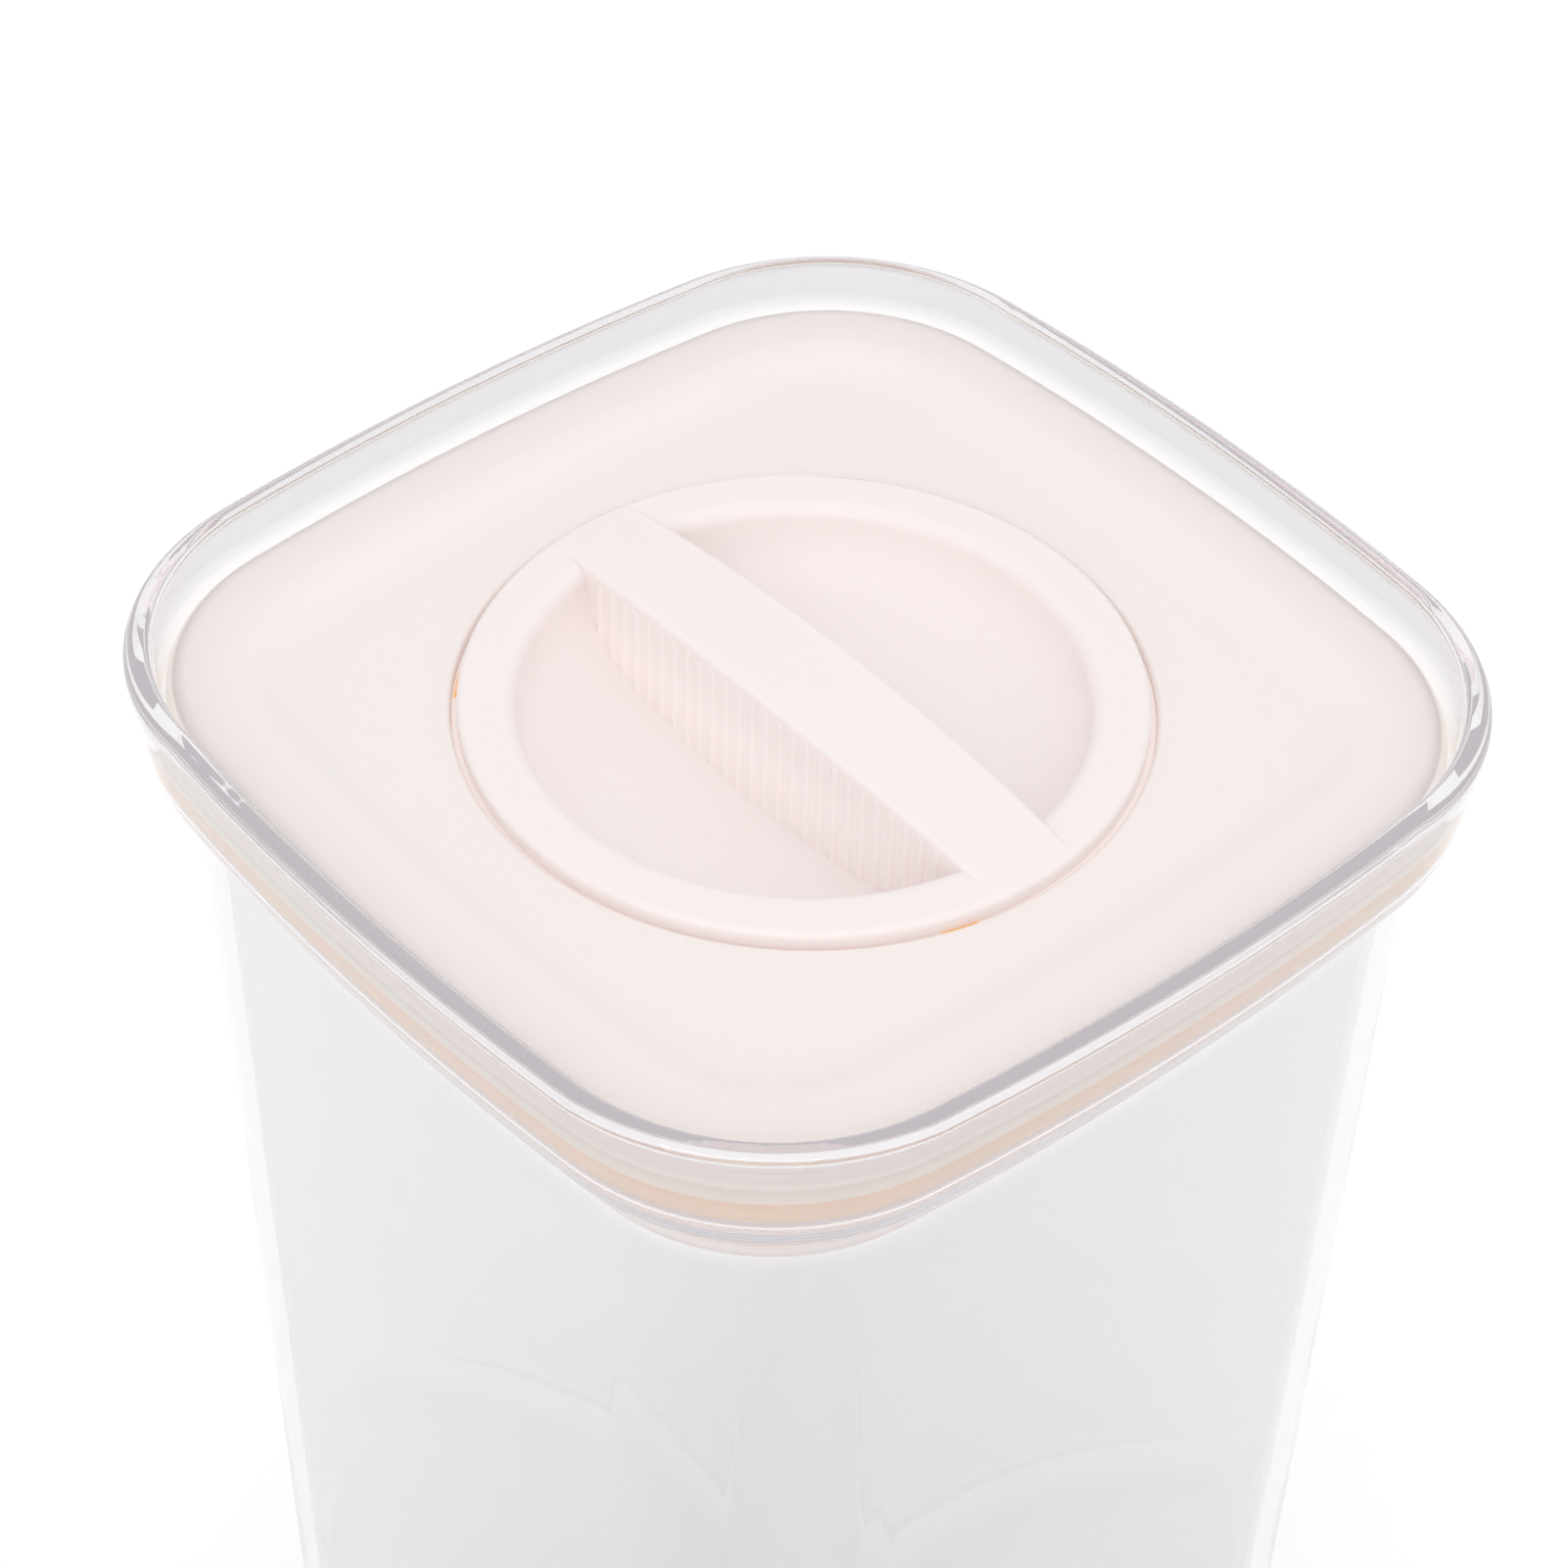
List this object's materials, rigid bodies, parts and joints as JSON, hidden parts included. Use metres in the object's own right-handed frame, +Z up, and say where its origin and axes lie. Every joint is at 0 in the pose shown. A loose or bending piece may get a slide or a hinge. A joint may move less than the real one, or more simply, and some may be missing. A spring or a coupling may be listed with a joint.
{
  "type": "cereal container",
  "caption": "Tall clear square-section cereal keeper with a stepped collar and a white lid set inside it; a round knob with a grip bar turns to loosen the lid's gasket.",
  "frame": {"origin": "middle of the base, on the surface that the container stands on", "axes": "+Z up, out through the lid; X and Y are square to the container's flat sides, with the knob's grip bar along Y when shut"},
  "size_m": [0.112, 0.112, 0.235],
  "materials": {
    "clear_plastic": "clear, polished",
    "lid_plastic": "satin",
    "knob_plastic": "satin",
    "housing_plastic": "satin",
    "bearing_plastic": "smooth, low friction",
    "cam_plastic": "smooth, low friction",
    "plate_plastic": "satin",
    "silicone": "soft, matt",
    "seal_rubber": "soft, matt",
    "screw_steel": "plated",
    "spring_steel": "drawn wire"
  },
  "bodies": {
    "container": {"container_body": "clear_plastic"},
    "lid": {"lid_cover": "lid_plastic", "knob_housing": "housing_plastic", "housing_screws": "screw_steel", "hub_bush": "bearing_plastic", "thrust_washer": "bearing_plastic", "guide_screws": "screw_steel", "gasket": "silicone", "return_spring_1": "spring_steel", "return_spring_2": "spring_steel", "return_spring_3": "spring_steel", "return_spring_4": "spring_steel"},
    "knob": {"twist_knob": "knob_plastic", "hub_o_ring": "seal_rubber", "cam_ring": "cam_plastic", "hub_screw": "screw_steel", "hub_washer": "screw_steel"},
    "plate": {"pressure_plate": "plate_plastic", "cam_followers": "bearing_plastic", "plate_tray": "plate_plastic", "tray_seal": "silicone"}
  },
  "joints": [
    {"name": "lid_lift", "type": "slide", "parent": "container", "child": "lid", "axis": [0, 0, 1], "range_m": [0, 0.1]},
    {"name": "knob_turn", "type": "hinge", "parent": "lid", "child": "knob", "pos_m": [0, 0, 0.22], "axis": [0, 0, 1], "range_deg": [0, 90]},
    {"name": "plate_slide", "type": "slide", "parent": "lid", "child": "plate", "axis": [0, 0, 1], "range_m": [-0.002, 0], "deforming": ["gasket", "return_spring_1", "return_spring_2", "return_spring_3", "return_spring_4"]}
  ],
  "couplings": [
    {"joint": "plate_slide", "follows": "knob_turn", "m_per_rad": -0.0012732}
  ]
}
